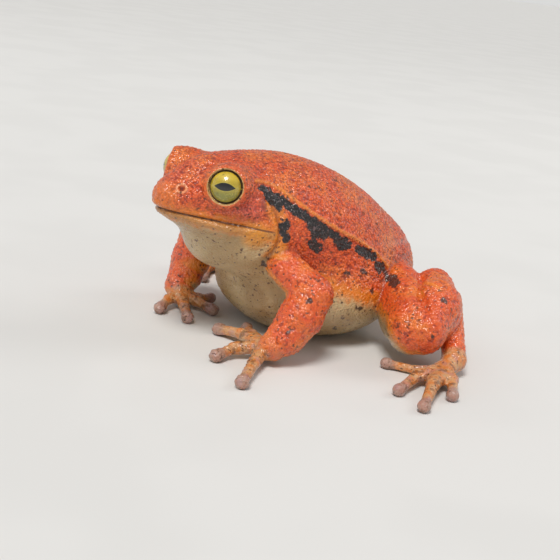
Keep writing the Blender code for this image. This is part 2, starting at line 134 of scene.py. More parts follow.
LEFT_FOOT = ((52.4, 63.6, 2.7), (
    ((47.4, 58.2, 1.4), (40.4, 53.4, 1.5), 1.25, 1.6),
    ((52.6, 53.6, 2.8), (56.4, 43.0, 1.6), 1.7, 1.65),
    ((59.6, 51.8, 3.0), (66.8, 41.8, 1.6), 1.75, 1.7),
    ((58.8, 59.8, 2.8), (64.4, 54.4, 1.6), 1.6, 1.65)))
RIGHT_FOOT = ((-51.8, 64.0, 2.7), (
    ((-45.4, 57.6, 1.4), (-38.6, 53.2, 1.5), 1.25, 1.6),
    ((-47.4, 53.4, 2.1), (-40.4, 47.0, 1.7), 1.45, 1.75),
    ((-48.6, 53.0, 2.8), (-46.2, 43.0, 1.7), 1.75, 1.9),
    ((-51.8, 57.6, 2.8), (-52.4, 50.6, 1.7), 1.65, 1.8)))

# Dark markings seen from the side, as closed (y, z) outlines, the same on both flanks.
STRIPE = ((21.7, 45.4), (25.9, 44.9), (30.5, 42.6), (34.6, 40.0), (38.9, 37.6), (43.3, 35.0), (48.5, 32.2),
          (51.2, 30.6), (50.5, 29.2), (48.5, 28.4), (46.6, 28.6), (44.5, 31.2), (42.8, 32.5), (40.2, 31.5),
          (38.2, 32.5), (36.8, 34.4), (35.5, 36.5), (32.7, 38.0), (30.8, 39.6), (29.4, 40.2), (27.7, 39.0),
          (26.4, 40.6), (24.6, 42.8), (22.5, 44.6))
BLOTCHES = (
    ((52.0, 29.0), (54.0, 30.1), (56.8, 29.0), (59.6, 27.2),
     (62.0, 25.6), (60.0, 25.0), (56.5, 25.5), (53.4, 27.2)),
    ((60.2, 24.6), (63.8, 24.4), (64.6, 23.0), (62.8, 21.8), (61.2, 21.2), (60.0, 22.8)),
    ((28.7, 37.2), (30.4, 37.3), (31.0, 35.6), (30.5, 33.8), (31.6, 31.3), (29.7, 31.2), (28.6, 33.4)),
    ((36.4, 30.9), (38.6, 31.9), (40.6, 31.2), (41.7, 28.6), (39.9, 28.0), (37.8, 29.2)),
)
# Dark patches on the skin as chains of (point, radius), the same on both sides.
PATCHES = (
    (((23.4, 60.4, 24.6), 0.8), ((23.6, 62.0, 23.0), 1.5), ((23.7, 63.4, 22.2), 0.6)),
    (((23.7, 64.3, 21.5), 0.9), ((26.5, 64.2, 20.6), 1.7), ((30.8, 61.8, 20.3), 1.6)),
    (((23.9, 49.6, 22.2), 0.9),), (((24.4, 55.2, 22.4), 1.0),), (((26.6, 57.5, 17.3), 0.9),),
    (((26.0, 46.9, 14.9), 0.5),), (((27.4, 52.2, 13.2), 0.6), ((27.5, 53.6, 12.6), 0.5)),
    (((26.9, 49.2, 12.7), 0.5),), (((22.9, 49.4, 5.8), 0.4), ((23.4, 48.4, 5.9), 0.6)),
    (((46.8, 65.0, 20.3), 0.9),), (((50.9, 58.3, 12.8), 0.6),), (((16.3, 26.2, 24.4), 0.9),),
    (((32.0, 30.2, 18.8), 0.7),), (((31.7, 25.1, 10.4), 0.5),),
)


def ahead(point, direction, distance):
    """The point moved along a direction."""
    return tuple(Vector(point) + distance * Vector(direction))


EYE_AXIS = (sin(radians(EYE_YAW)) * cos(radians(EYE_LIFT)),
            -cos(radians(EYE_YAW)) * cos(radians(EYE_LIFT)),
            sin(radians(EYE_LIFT)))


def away_from(points, centre):
    """Plain distance to a point."""
    return np.sqrt(((points - np.array(centre, np.float32)) ** 2).sum(-1))


def ball_distance(points, centre, radii, pitch):
    """Distance to an ellipsoid that is pitched about X."""
    q = points - np.array(centre, np.float32)
    c, s = cos(radians(pitch)), sin(radians(pitch))
    q = np.stack([q[..., 0], q[..., 1] * c - q[..., 2] * s, q[..., 1] * s + q[..., 2] * c], -1)
    r = np.array(radii, np.float32)
    near = np.sqrt(((q / r) ** 2).sum(-1))
    far = np.sqrt(((q / (r * r)) ** 2).sum(-1)) + 1e-9
    return near * (near - 1) / far


def bone_distance(points, start, end, start_radius, end_radius, tall=1.0):
    """Distance to a tapered round bar."""
    a, b = np.array(start, np.float32), np.array(end, np.float32)
    ab = b - a
    t = np.clip((points - a) @ ab / (ab @ ab), 0, 1)
    off = points - a - t[..., None] * ab
    off[..., 2] /= tall
    return np.sqrt((off ** 2).sum(-1)) - (start_radius + t * (end_radius - start_radius))


def ring_distance(points, centre, axis, radius, roll):
    """Distance to a torus."""
    q = points - np.array(centre, np.float32)
    height = q @ np.array(axis, np.float32)
    reach = np.sqrt(np.maximum((q ** 2).sum(-1) - height * height, 0))
    return np.sqrt((reach - radius) ** 2 + height * height) - roll


def blend(a, b, width):
    """Union of two distances with a fillet."""
    h = np.clip(0.5 + 0.5 * (b - a) / width, 0, 1)
    return b + (a - b) * h - width * h * (1 - h)


def bump(distance, width):
    """A rounded bump, 1 in the middle and 0 a few widths away."""
    return np.exp(-(distance / width) ** 2)


def ramp(value, low, high):
    """A smooth step from 0 at low to 1 at high."""
    t = np.clip((value - low) / (high - low), 0, 1)
    return t * t * (3 - 2 * t)


def side_distance(q, path):
    """Distance to a path drawn on the side of the body, seen along X."""
    result = None
    for a, b in zip(path, path[1:]):
        start = np.array(a, np.float32)
        span = np.array(b, np.float32) - start
        off = q[..., 1:] - start
        t = np.clip(off @ span / (span @ span), 0, 1)
        d = np.sqrt(((off - t[..., None] * span) ** 2).sum(-1))
        result = d if result is None else np.minimum(result, d)
    return result


def outline_distance(q, outline):
    """Signed distance to a closed outline drawn on the side of the body, negative inside."""
    closed = outline + outline[:1]
    inside = np.zeros(q.shape[:-1], bool)
    y, z = q[..., 1], q[..., 2]
    for (ya, za), (yb, zb) in zip(closed, closed[1:]):
        if za != zb:
            crosses = ((za > z) != (zb > z)) & (y < (yb - ya) * (z - za) / (zb - za) + ya)
            inside ^= crosses
    d = side_distance(q, closed)
    return np.where(inside, -d, d)


def patch_distance(q, patch):
    """Distance to a dark patch, a chain of (point, radius), negative inside."""
    if len(patch) == 1:
        centre, radius = patch[0]
        return away_from(q, centre) - radius
    return np.minimum.reduce([bone_distance(q, a, b, ra, rb) for (a, ra), (b, rb) in zip(patch, patch[1:])])


def balls_distance(points, balls):
    """Distance to a group of balls, each blended into those before it."""
    result = None
    for centre, radii, pitch, width in balls:
        d = ball_distance(points, centre, radii, pitch)
        result = d if result is None else blend(result, d, width)
    return result


def chain_distance(points, stations, width, tall=1.0):
    """Distance to a chain of bones."""
    result = None
    for (a, ra), (b, rb) in zip(stations, stations[1:]):
        d = bone_distance(points, a, b, ra, rb, tall)
        result = d if result is None else blend(result, d, width)
    return result


def mouth_height(y):
    """Height of the line of the mouth, which drops towards its corner."""
    return 37.1 - 0.125 * y


def head_distance(q):
    """Skull, jaw and throat with the line of the mouth, nostrils, lids and eardrum."""
    skull = balls_distance(q, SKULL)
    jaw = balls_distance(q, JAW)
    d = blend(skull, jaw, 1.2)
    front = 1 / (1 + np.exp(np.clip((q[..., 1] - MOUTH_CORNER_Y) * 3, -30, 30)))
    lip = q[..., 2] - mouth_height(q[..., 1])
    d += front * (0.65 * bump(lip, 0.33) - 0.15 * bump(lip - 1.0, 0.7) - 0.2 * bump(lip + 1.2, 0.8))
    d = blend(d, ball_distance(q, *THROAT[:3]), THROAT[3])
    away = away_from(q, NOSTRIL)
    d += 1.2 * bump(away, 0.65) - 0.45 * bump(away - 1.25, 0.4)
    away = np.sqrt((((q - np.array(EARDRUM, np.float32)) / np.array((1, 0.8, 1.15))) ** 2).sum(-1))
    d += 0.25 * bump(away, 1.6) - 0.22 * bump(away - 2.4, 0.5)
    from_eye = q - np.array(EYE, np.float32)
    forward = from_eye @ np.array(EYE_AXIS, np.float32)
    away = np.sqrt((from_eye ** 2).sum(-1))
    cup = -blend(SOCKET_RADIUS - away, LID_OFFSET - forward, 1.0)
    d = blend(d, cup, 3.0)
    lid = ahead(EYE, EYE_AXIS, LID_OFFSET)
    d = blend(d, ring_distance(q, lid, EYE_AXIS, LID_RING, LID_ROLL), 0.8)
    # The lids stand open in front of the eye, down to just under its surface.
    reach = np.sqrt(np.maximum(away ** 2 - forward ** 2, 0))
    opening = np.maximum(3 * (reach - EYE_OPENING), np.maximum(EYE_RADIUS - 0.6 - away, 1.0 - forward))
    return -blend(-d, opening, 0.4)


def digits_distance(points, root, palm, digits, webbed=False):
    """Distance to a hand or foot: a palm and its digits with round pads."""
    d = bone_distance(points, root, palm, *PALM_RADII)
    for bend, tip, root_radius, pad in digits:
        digit = bone_distance(points, palm, bend, root_radius + DIGIT_FLARE, root_radius)
        digit = blend(digit, bone_distance(points, bend, tip, root_radius - 0.1, pad - 0.5), 0.8)
        digit = blend(digit, ball_distance(points, tip, (pad * 0.86, pad * 0.86, pad * 0.8), 0), 1.6)
        d = blend(d, digit, 1.4)
    for (one, *_), (other, *_) in zip(digits[1:], digits[2:]) if webbed else ():
        for share in (0.5, 0.7, 0.88):
            ends = [tuple(Vector(palm).lerp(Vector(bend), share)) for bend in (one, other)]
            d = blend(d, bone_distance(points, *ends, 0.7, 0.7), 1.5)
    return d


def arm_stations(side, wrist):
    """Shoulder, elbow and wrist stations of one arm, as upper arm and forearm."""
    upper = [((side * p[0], p[1], p[2]), r) for p, r in ARM]
    elbow = upper[1][0]
    forearm = []
    for share, out, rear, radius in FOREARM:
        x, y, z = (e + share * (w - e) for e, w in zip(elbow, wrist))
        forearm.append(((x + side * out, y + rear, z), radius))
    return upper, forearm


def leg_stations(side, ankle):
    """Stations of one hind leg, as thigh, shank and tarsus."""
    thigh = [((side * p[0], p[1], p[2]), r) for p, r in THIGH]
    shank = [((side * p[0], p[1], p[2]), r) for p, r in SHANK]
    heel = (side * HEEL[0][0],) + HEEL[0][1:]
    return thigh, shank, [(heel, HEEL[1]), (ankle, TARSUS_RADIUS)]


ARMS = ((1, LEFT_WRIST, LEFT_HAND), (-1, RIGHT_WRIST, RIGHT_HAND))
LEGS = ((1, LEFT_ANKLE, LEFT_FOOT), (-1, RIGHT_ANKLE, RIGHT_FOOT))


def mirrored_points(points):
    """The points with X made positive, for what is the same on both sides."""
    q = points.copy()
    q[..., 0] = np.abs(q[..., 0])
    return q


def off_middle(q):
    """0 in the middle of the body and 1 out on its sides."""
    return np.clip((q[..., 0] - 7) / 3, 0, 1)


def jaw_fold(q):
    """How far behind the fold of the jaw a point is, and how strong the fold is there."""
    fold = np.hypot(q[..., 1] - JAW_FOLD[0], q[..., 2] - JAW_FOLD[1]) - JAW_FOLD[2]
    strength = bump(np.maximum(24 - q[..., 1], 0), 1.5) * bump(np.maximum(np.abs(q[..., 2] - 34) - 7, 0), 1.5)
    return fold, strength * off_middle(q)


def trunk_distance(points):
    """Distance to the head and trunk with their folds."""
    q = mirrored_points(points)
    d = blend(balls_distance(q, TRUNK), head_distance(q), 4)
    fold, strength = jaw_fold(q)
    d += strength * (0.5 * bump(fold, 0.8) - 0.3 * bump(np.abs(fold) - 1.8, 1.1))
    return d - off_middle(q) * 0.45 * bump(side_distance(q, BACK_FOLD), 0.8)


def arm_distance(points, side, wrist, hand):
    """Distance to one arm, and to its hand alone."""
    upper, forearm = arm_stations(side, wrist)
    arm = blend(chain_distance(points, upper, 1), chain_distance(points, forearm, 1), 1.5)
    digits = digits_distance(points, wrist, *hand)
    return blend(arm, digits, 1.2), digits


def leg_distance(points, side, ankle, foot):
    """Distance to one hind leg, and to its foot alone."""
    thigh, shank, tarsus = leg_stations(side, ankle)
    leg = blend(chain_distance(points, thigh, 3, TALL), chain_distance(points, shank, 3, TALL), 1.0)
    knee = ((side * KNEE[0][0],) + KNEE[0][1:], KNEE[1], 0)
    leg = blend(leg, ball_distance(points, *knee), 2.5)
    crease = chain_distance(points, [((side * x, y, z), 0) for x, y, z in LEG_CREASE], 0.1)
    leg += 0.8 * bump(crease, 1.1)
    leg = -blend(-leg, points[..., 2] - LEG_UNDERSIDE, 1.0)
    leg = blend(leg, chain_distance(points, tarsus, 1), 0.8)
    digits = digits_distance(points, ankle, *foot, webbed=True)
    return blend(leg, digits, 1.0), digits


def frog_distance(points):
    """Distance to the whole frog, clipped flat where it rests."""
    p = np.asarray(points, np.float32)
    d = trunk_distance(p)
    for side, wrist, hand in ARMS:
        d = blend(d, arm_distance(p, side, wrist, hand)[0], 1.0)
    for side, ankle, foot in LEGS:
        d = blend(d, leg_distance(p, side, ankle, foot)[0], 1.3)
    return np.maximum(d, -p[..., 2])


# The skin as a mesh

def matrix_between(start, end, scale):
    """Place a unit shape, upright on Z, between two points."""
    a, b = Vector(start), Vector(end)
    turn = (b - a).to_track_quat("Z", "Y").to_matrix().to_4x4()
    return Matrix.Translation((a + b) / 2) @ Matrix.Diagonal((1, 1, scale, 1)) @ turn


def add_ball(bm, centre, radii, pitch):
    """Add an ellipsoid."""
    place = Matrix.Translation(centre) @ Matrix.Rotation(radians(-pitch), 4, "X")
    bmesh.ops.create_icosphere(bm, subdivisions=4 if max(radii) > 8 else 3, radius=1,
                               matrix=place @ Matrix.Diagonal((*radii, 1)))


def add_bone(bm, start, end, start_radius, end_radius, tall=1.0):
    """Add a tapered bar with round ends."""
    length = (Vector(end) - Vector(start)).length
    bmesh.ops.create_cone(bm, cap_ends=True, segments=24, radius1=start_radius, radius2=end_radius,
                          depth=length, matrix=matrix_between(start, end, tall))
    for point, radius in ((start, start_radius), (end, end_radius)):
        add_ball(bm, point, (radius, radius, radius * tall), 0)


def add_digits(bm, root, palm, digits):
    """Add a palm and its digits."""
    add_bone(bm, root, palm, *PALM_RADII)
    for bend, tip, root_radius, pad in digits:
        add_bone(bm, palm, bend, root_radius + DIGIT_FLARE, root_radius)
        add_bone(bm, bend, tip, root_radius, pad - 0.35)
        add_ball(bm, tip, (pad, pad, pad), 0)


def mesh_object(name, bm):
    """Turn a bmesh into an object of the scene."""
    mesh = bpy.data.meshes.new(name)
    bm.to_mesh(mesh)
    bm.free()
    thing = bpy.data.objects.new(name, mesh)
    bpy.context.scene.collection.objects.link(thing)
    return thing


def rough_body():
    """All the balls and bones in one mesh, still as separate overlapping shells."""
    bm = bmesh.new()
    for centre, radii, pitch, *_ in TRUNK + SKULL + JAW + (THROAT, (EYE, (SOCKET_RADIUS,) * 3, 0)):
        for side in (1, -1) if centre[0] else (1,):
            add_ball(bm, (side * centre[0], *centre[1:]), radii, pitch)
    for side, wrist, hand in ARMS:
        for stations in arm_stations(side, wrist):
            for (a, ra), (b, rb) in zip(stations, stations[1:]):
                add_bone(bm, a, b, ra, rb)
        add_digits(bm, wrist, *hand)
    for side, ankle, foot in LEGS:
        for stations, tall in zip(leg_stations(side, ankle), (TALL, TALL, 1.0)):
            for (a, ra), (b, rb) in zip(stations, stations[1:]):
                add_bone(bm, a, b, ra, rb, tall)
        add_ball(bm, (side * KNEE[0][0],) + KNEE[0][1:], KNEE[1], 0)
        add_digits(bm, ankle, *foot)
    return mesh_object("skin", bm)


def remesh(thing, voxel):
    """Rebuild a mesh as even quads, with its overlaps joined."""
    modifier = thing.modifiers.new("remesh", "REMESH")
    modifier.mode = "VOXEL"
    modifier.voxel_size = voxel
    bpy.context.view_layer.update()
    evaluated = thing.evaluated_get(bpy.context.evaluated_depsgraph_get())
    mesh = bpy.data.meshes.new_from_object(evaluated)
    thing.modifiers.clear()
    thing.data = mesh


def get_points(thing):
    """The vertices of an object as an array."""
    points = np.empty(len(thing.data.vertices) * 3, np.float32)
    thing.data.vertices.foreach_get("co", points)
    return points.reshape(-1, 3)


def settle(thing, distance, rounds):
    """Move every vertex onto the surface where the distance is zero."""
    points = get_points(thing)
    step = 0.05
    gentlest, longest = 0.25, 1.0
    for _ in range(rounds):
        value = distance(points)
        slope = np.stack([(distance(points + axis) - distance(points - axis)) / (2 * step)
                          for axis in np.eye(3, dtype=np.float32) * step], -1)
        steep = np.maximum((slope ** 2).sum(-1), gentlest)
        move = np.clip(value / steep, -longest, longest)
        points = points - move[:, None] * slope
    thing.data.vertices.foreach_set("co", points.ravel())
    thing.data.update()


def hashed(cells, seed):
    """Three repeatable values between 0 and 1 for every whole-number cell."""
    n = cells.astype(np.int64)
    values = []
    for k in range(3):
        h = (n[..., 0] * 73856093) ^ (n[..., 1] * 19349663) ^ (n[..., 2] * 83492791)
        h = h ^ ((seed + k) * 2654435761)
        h = (h ^ (h >> 13)) * 1274126177 & 0x7FFFFFFF
        h = (h ^ (h >> 16)) * 60493 & 0x7FFFFFFF
        values.append((h & 0xFFFF) / 65535)
    return np.stack(values, -1).astype(np.float32)


def pebbles(points, size, seed):
    """Height of close-packed round bumps of about that size, from 0 between them to 1 on top."""
    p = points / size
    base = np.floor(p)
    best = np.full(len(points), 9.0, np.float32)
    for dx in (-1, 0, 1):
        for dy in (-1, 0, 1):
            for dz in (-1, 0, 1):
                cell = base + np.array((dx, dy, dz), np.float32)
                best = np.minimum(best, ((cell + hashed(cell, seed) - p) ** 2).sum(-1))
    return np.clip(1 - best / 0.55, 0, 1)


def store(thing, name, values):
    """Keep one number per vertex under a name that materials can read."""
    attribute = thing.data.attributes.new(name, "FLOAT", "POINT")
    attribute.data.foreach_set("value", np.ascontiguousarray(values, np.float32))


def round_lids(q, outermost):
    """Points inside the lids, put under the eyeball, with the outermost on a true circle."""
    axis = np.array(EYE_AXIS, np.float32)
    from_eye = q - np.array(EYE, np.float32)
    forward = from_eye @ axis
    sideways = from_eye - forward[:, None] * axis
    reach = np.sqrt((sideways ** 2).sum(-1))
    inner = np.minimum(np.hypot(reach, forward), EYE_RADIUS - INNER_DEPTH)
    away = np.where(outermost, EYE_RADIUS - EDGE_DEPTH, inner)
    wanted = np.where(outermost, LID_EDGE, np.minimum(reach, away - 0.01))
    forward = np.sqrt(away ** 2 - wanted ** 2)
    sideways *= (wanted / np.maximum(reach, 0.001))[:, None]
    return np.array(EYE) + sideways + forward[:, None] * np.array(EYE_AXIS)


def tuck_under_eyes(mesh, p, q, inside):
    """Put the points inside the lids in their places; those in a face that leaves the lids are outermost."""
    corners = np.empty(len(mesh.loops), np.int32)
    mesh.loops.foreach_get("vertex_index", corners)
    starts = np.empty(len(mesh.polygons), np.int32)
    mesh.polygons.foreach_get("loop_start", starts)
    within = inside[corners]
    split = np.logical_or.reduceat(within, starts) & ~np.logical_and.reduceat(within, starts)
    outermost = np.zeros(len(p), bool)
    outermost[corners[np.repeat(split, np.diff(starts, append=len(corners)))]] = True
    side = np.where(p[inside, :1] < 0, (-1, 1, 1), (1, 1, 1))
    p[inside] = round_lids(q[inside], outermost[inside]) * side


def make_skin():
    """The whole skin in one closed mesh with its granules and the measures for its colours."""
    skin = rough_body()
    remesh(skin, COARSE_VOXEL)
    settle(skin, frog_distance, 3)
    remesh(skin, FINE_VOXEL)
    settle(skin, frog_distance, 2)
    p = get_points(skin)
    q = mirrored_points(p)
    normals = np.empty(len(p) * 3, np.float32)
    skin.data.vertices.foreach_get("normal", normals)
    normals = normals.reshape(-1, 3)

    # Where each point lies: 0 to 1 for limb, hand and belly, millimetres for the rest.
    trunk = trunk_distance(p)
    arms = [arm_distance(p, *arm) for arm in ARMS]
    legs = [leg_distance(p, *leg) for leg in LEGS]
    arm = np.minimum(arms[0][0], arms[1][0])
    limbs = np.minimum(arm, np.minimum(legs[0][0], legs[1][0]))
    digit = np.minimum(np.minimum(arms[0][1], arms[1][1]), np.minimum(legs[0][1], legs[1][1]))
    limb = ramp(trunk - limbs, -0.6, 0.6)
    hand = ramp(limbs - digit, -0.9, -0.1) * ramp(trunk, 0.2, 1.0)
    tips = [tip for _, digits in (LEFT_HAND, RIGHT_HAND, LEFT_FOOT, RIGHT_FOOT) for _, tip, _, _ in digits]
    tip = np.minimum.reduce([away_from(p, centre) for centre in tips])
    lip = q[:, 2] - mouth_height(q[:, 1])
    eye = away_from(q, EYE)
    forward = (q - np.array(EYE, np.float32)) @ np.array(EYE_AXIS, np.float32)
    rim = np.sqrt(np.maximum(eye ** 2 - forward ** 2, 0)) + FAR * (forward < 0.5)
    fold, strength = jaw_fold(q)
    # The stripe and blotches stay on the trunk's sides.
    stripe = np.minimum.reduce([outline_distance(q, outline) for outline in (STRIPE,) + BLOTCHES])
    stripe = np.maximum(stripe, 10 - q[:, 0])
    stripe = np.maximum(stripe, 3 - 6 * (1 - limb))
    # Pale below a line that rises from the knee to the corner of the mouth, and on the limbs' inner sides.
    edge = np.interp(q[:, 1], (0, 10, 22, 28, 34, 46, 56, 66, 80), (35, 35, 33, 31, 22, 17.5, 15, 12, 6))
    inward = -0.75 * normals[:, 2] - 0.5 * normals[:, 0] * np.sign(p[:, 0]) - 0.35 * normals[:, 1]
    belly = ramp(edge - q[:, 2], -7, 6) * (1 - limb) + limb * ramp(inward, 0.2, 0.85)

    # Granules, lower below and gone at the eyes, mouth, nostrils and floor.
    back = (1 - belly) * (1 - hand)
    grain = pebbles(p, 1.25, 1) * 0.6 + pebbles(p, 0.8, 5) * 0.4
    quiet = ramp(rim, 4.6, 5.6) * ramp(np.abs(lip), 0.4, 1.2) * ramp(p[:, 2], 0.3, 1.2)
    quiet *= ramp(away_from(q, NOSTRIL), 0.9, 1.8)
    height = (grain - 0.42) * (0.12 + 0.33 * back) * quiet
    # Creased skin where a limb leaves the trunk and at the wrists.
    joint = bump(trunk - limbs, 1.6) + 0.7 * bump(arm - digit, 0.5)
    creases = np.sin(away_from(p, (0, 48, 30)) * 3.4 + 1.5 * np.sin(p[:, 2] * 1.1))
    height += 0.12 * creases * np.clip(joint, 0, 1) * quiet
    p = p + normals * height[:, None]
    tuck_under_eyes(skin.data, p, q, (rim < LID_EDGE + 0.08) & (eye < 7))
    skin.data.vertices.foreach_set("co", p.ravel())

    drum_shape = (1, 0.65, 1.3)
    measures = {
        "grain": grain,
        "belly": belly,
        "limb": limb,
        # Mask of the painted shade where a limb meets the trunk, on its upper side.
        "joint": bump(trunk - limbs, 0.9) * ramp(normals[:, 2], -0.5, 0.3),
        "hand": hand,
        "tip": tip,
        "lip": np.where(q[:, 1] < 27, lip, FAR),
        "rim": rim,
        "stripe": stripe,
        "spots": np.minimum.reduce([patch_distance(q, patch) for patch in PATCHES]),
        "fold": side_distance(q, BACK_FOLD) + FAR * (q[:, 0] < 9),
        "jaw_fold": np.abs(fold) + FAR * (1 - strength),
        "jaw_corner": away_from(q, (15.6, 22.6, 32.4)),
        "snout": away_from(q, (0, 1.5, 38.5)),
        "cheek": away_from(q, (13.5, 18.0, 38.0)),
        "drum": away_from(q / drum_shape, np.array(EARDRUM) / drum_shape),
        "nostril": away_from(q, NOSTRIL),
    }
    for name, values in measures.items():
        store(skin, name, values)
    return skin


def make_eye(name, side):
    """A smooth eyeball that knows where its own iris and pupil are."""
    bm = bmesh.new()
    axis = Vector((side * EYE_AXIS[0], *EYE_AXIS[1:]))
    turn = axis.to_track_quat("Z", "Y").to_matrix().to_4x4()
    centre = Vector((side * EYE[0], *EYE[1:]))
    bmesh.ops.create_uvsphere(bm, u_segments=96, v_segments=64, radius=EYE_RADIUS - 0.02,
                              matrix=Matrix.Translation(centre) @ turn)
    eye = mesh_object(name, bm)
    points = get_points(eye) - np.array(centre, np.float32)
    level = axis.cross(Vector((0, 0, 1))).normalized()
    up = level.cross(axis)
    store(eye, "across", points @ np.array(level, np.float32))
    store(eye, "above", points @ np.array(up, np.float32))
    store(eye, "ahead", points @ np.array(axis, np.float32))
    return eye


# Materials

TIMES, PLUS, MINUS = "MULTIPLY", "ADD", "SUBTRACT"


def node(tree, kind, values=None, **settings):
    """Add a shader node; a value may be a number, a colour or another node's output."""
    made = tree.nodes.new("ShaderNode" + kind)
    for key, value in settings.items():
        setattr(made, key, value)
    for key, value in (values or {}).items():
        if isinstance(value, bpy.types.NodeSocket):
            tree.links.new(value, made.inputs[key])
        else:
            made.inputs[key].default_value = value
    return made


class Paint:
    """Layers of colour for one material."""

    def __init__(self, name, colour):
        self.material = bpy.data.materials.new(name)
        self.material.use_nodes = True
        self.tree = self.material.node_tree
        self.shader = self.tree.nodes["Principled BSDF"]
        self.place = node(self.tree, "TexCoord").outputs["Object"]
        self.colour = self.flat(colour)

    def flat(self, colour):
        """A plain colour as a socket."""
        made = node(self.tree, "RGB")
        made.outputs[0].default_value = (*colour, 1)
        return made.outputs[0]

    def attribute(self, name):
        """A stored measure of the mesh."""
        return node(self.tree, "Attribute", attribute_name=name).outputs["Fac"]

    def maths(self, operation, a, b=0.0):
        """One sum of two values."""
        return node(self.tree, "Math", {0: a, 1: b}, operation=operation).outputs[0]

    def texture(self, kind, size, seed, values):
        """A texture with features of about that size in millimetres, moved aside by the seed."""
        moved = node(self.tree, "VectorMath", {0: self.place, 1: (seed, seed, seed)}, operation="ADD")
        return node(self.tree, kind, {"Vector": moved.outputs[0], "Scale": 1 / (size * MM), **values})

    def noise(self, size, detail=2.0, seed=0.0):
        """Cloudy noise from 0 to 1."""
        return self.texture("TexNoise", size, seed, {"Detail": detail}).outputs["Fac"]

    def cells(self, size, seed):
        """Distance from the middle of cells."""
        return self.texture("TexVoronoi", size, seed, {}).outputs["Distance"]

    def step(self, value, low, high, top=1.0):
        """A smooth step from 0 at low to top at high; low may be the greater."""
        falls = low > high
        values = {"Value": value, "From Min": min(low, high), "From Max": max(low, high),
                  "To Min": top if falls else 0.0, "To Max": 0.0 if falls else top}
        return node(self.tree, "MapRange", values, interpolation_type="SMOOTHSTEP").outputs[0]

    def over(self, colour, mask):
        """Lay a colour over what is there."""
        colour = colour if isinstance(colour, bpy.types.NodeSocket) else self.flat(colour)
        mix = node(self.tree, "Mix", data_type="RGBA")
        self.tree.links.new(mask, mix.inputs[0])
        self.tree.links.new(self.colour, mix.inputs[6])
        self.tree.links.new(colour, mix.inputs[7])
        self.colour = mix.outputs[2]

    def mixed(self, a, b, mask):
        """Two colours mixed."""
        kept = self.colour
        self.colour = self.flat(a)
        self.over(b, mask)
        made, self.colour = self.colour, kept
        return made

    def finish(self, fine, smoothest, roughest, height, strength, depth):
        """Connect the colour, a roughness that follows fine, and a relief; give the relief back."""
        rough = node(self.tree, "MapRange", {"Value": fine, "From Min": 0.3, "From Max": 0.7,
                                             "To Min": smoothest, "To Max": roughest}).outputs[0]
        relief = node(self.tree, "Bump", {"Strength": strength, "Distance": depth,
                                          "Height": height}).outputs[0]
        for value, name in ((self.colour, "Base Color"), (rough, "Roughness"), (relief, "Normal")):
            self.tree.links.new(value, self.shader.inputs[name])
        return relief


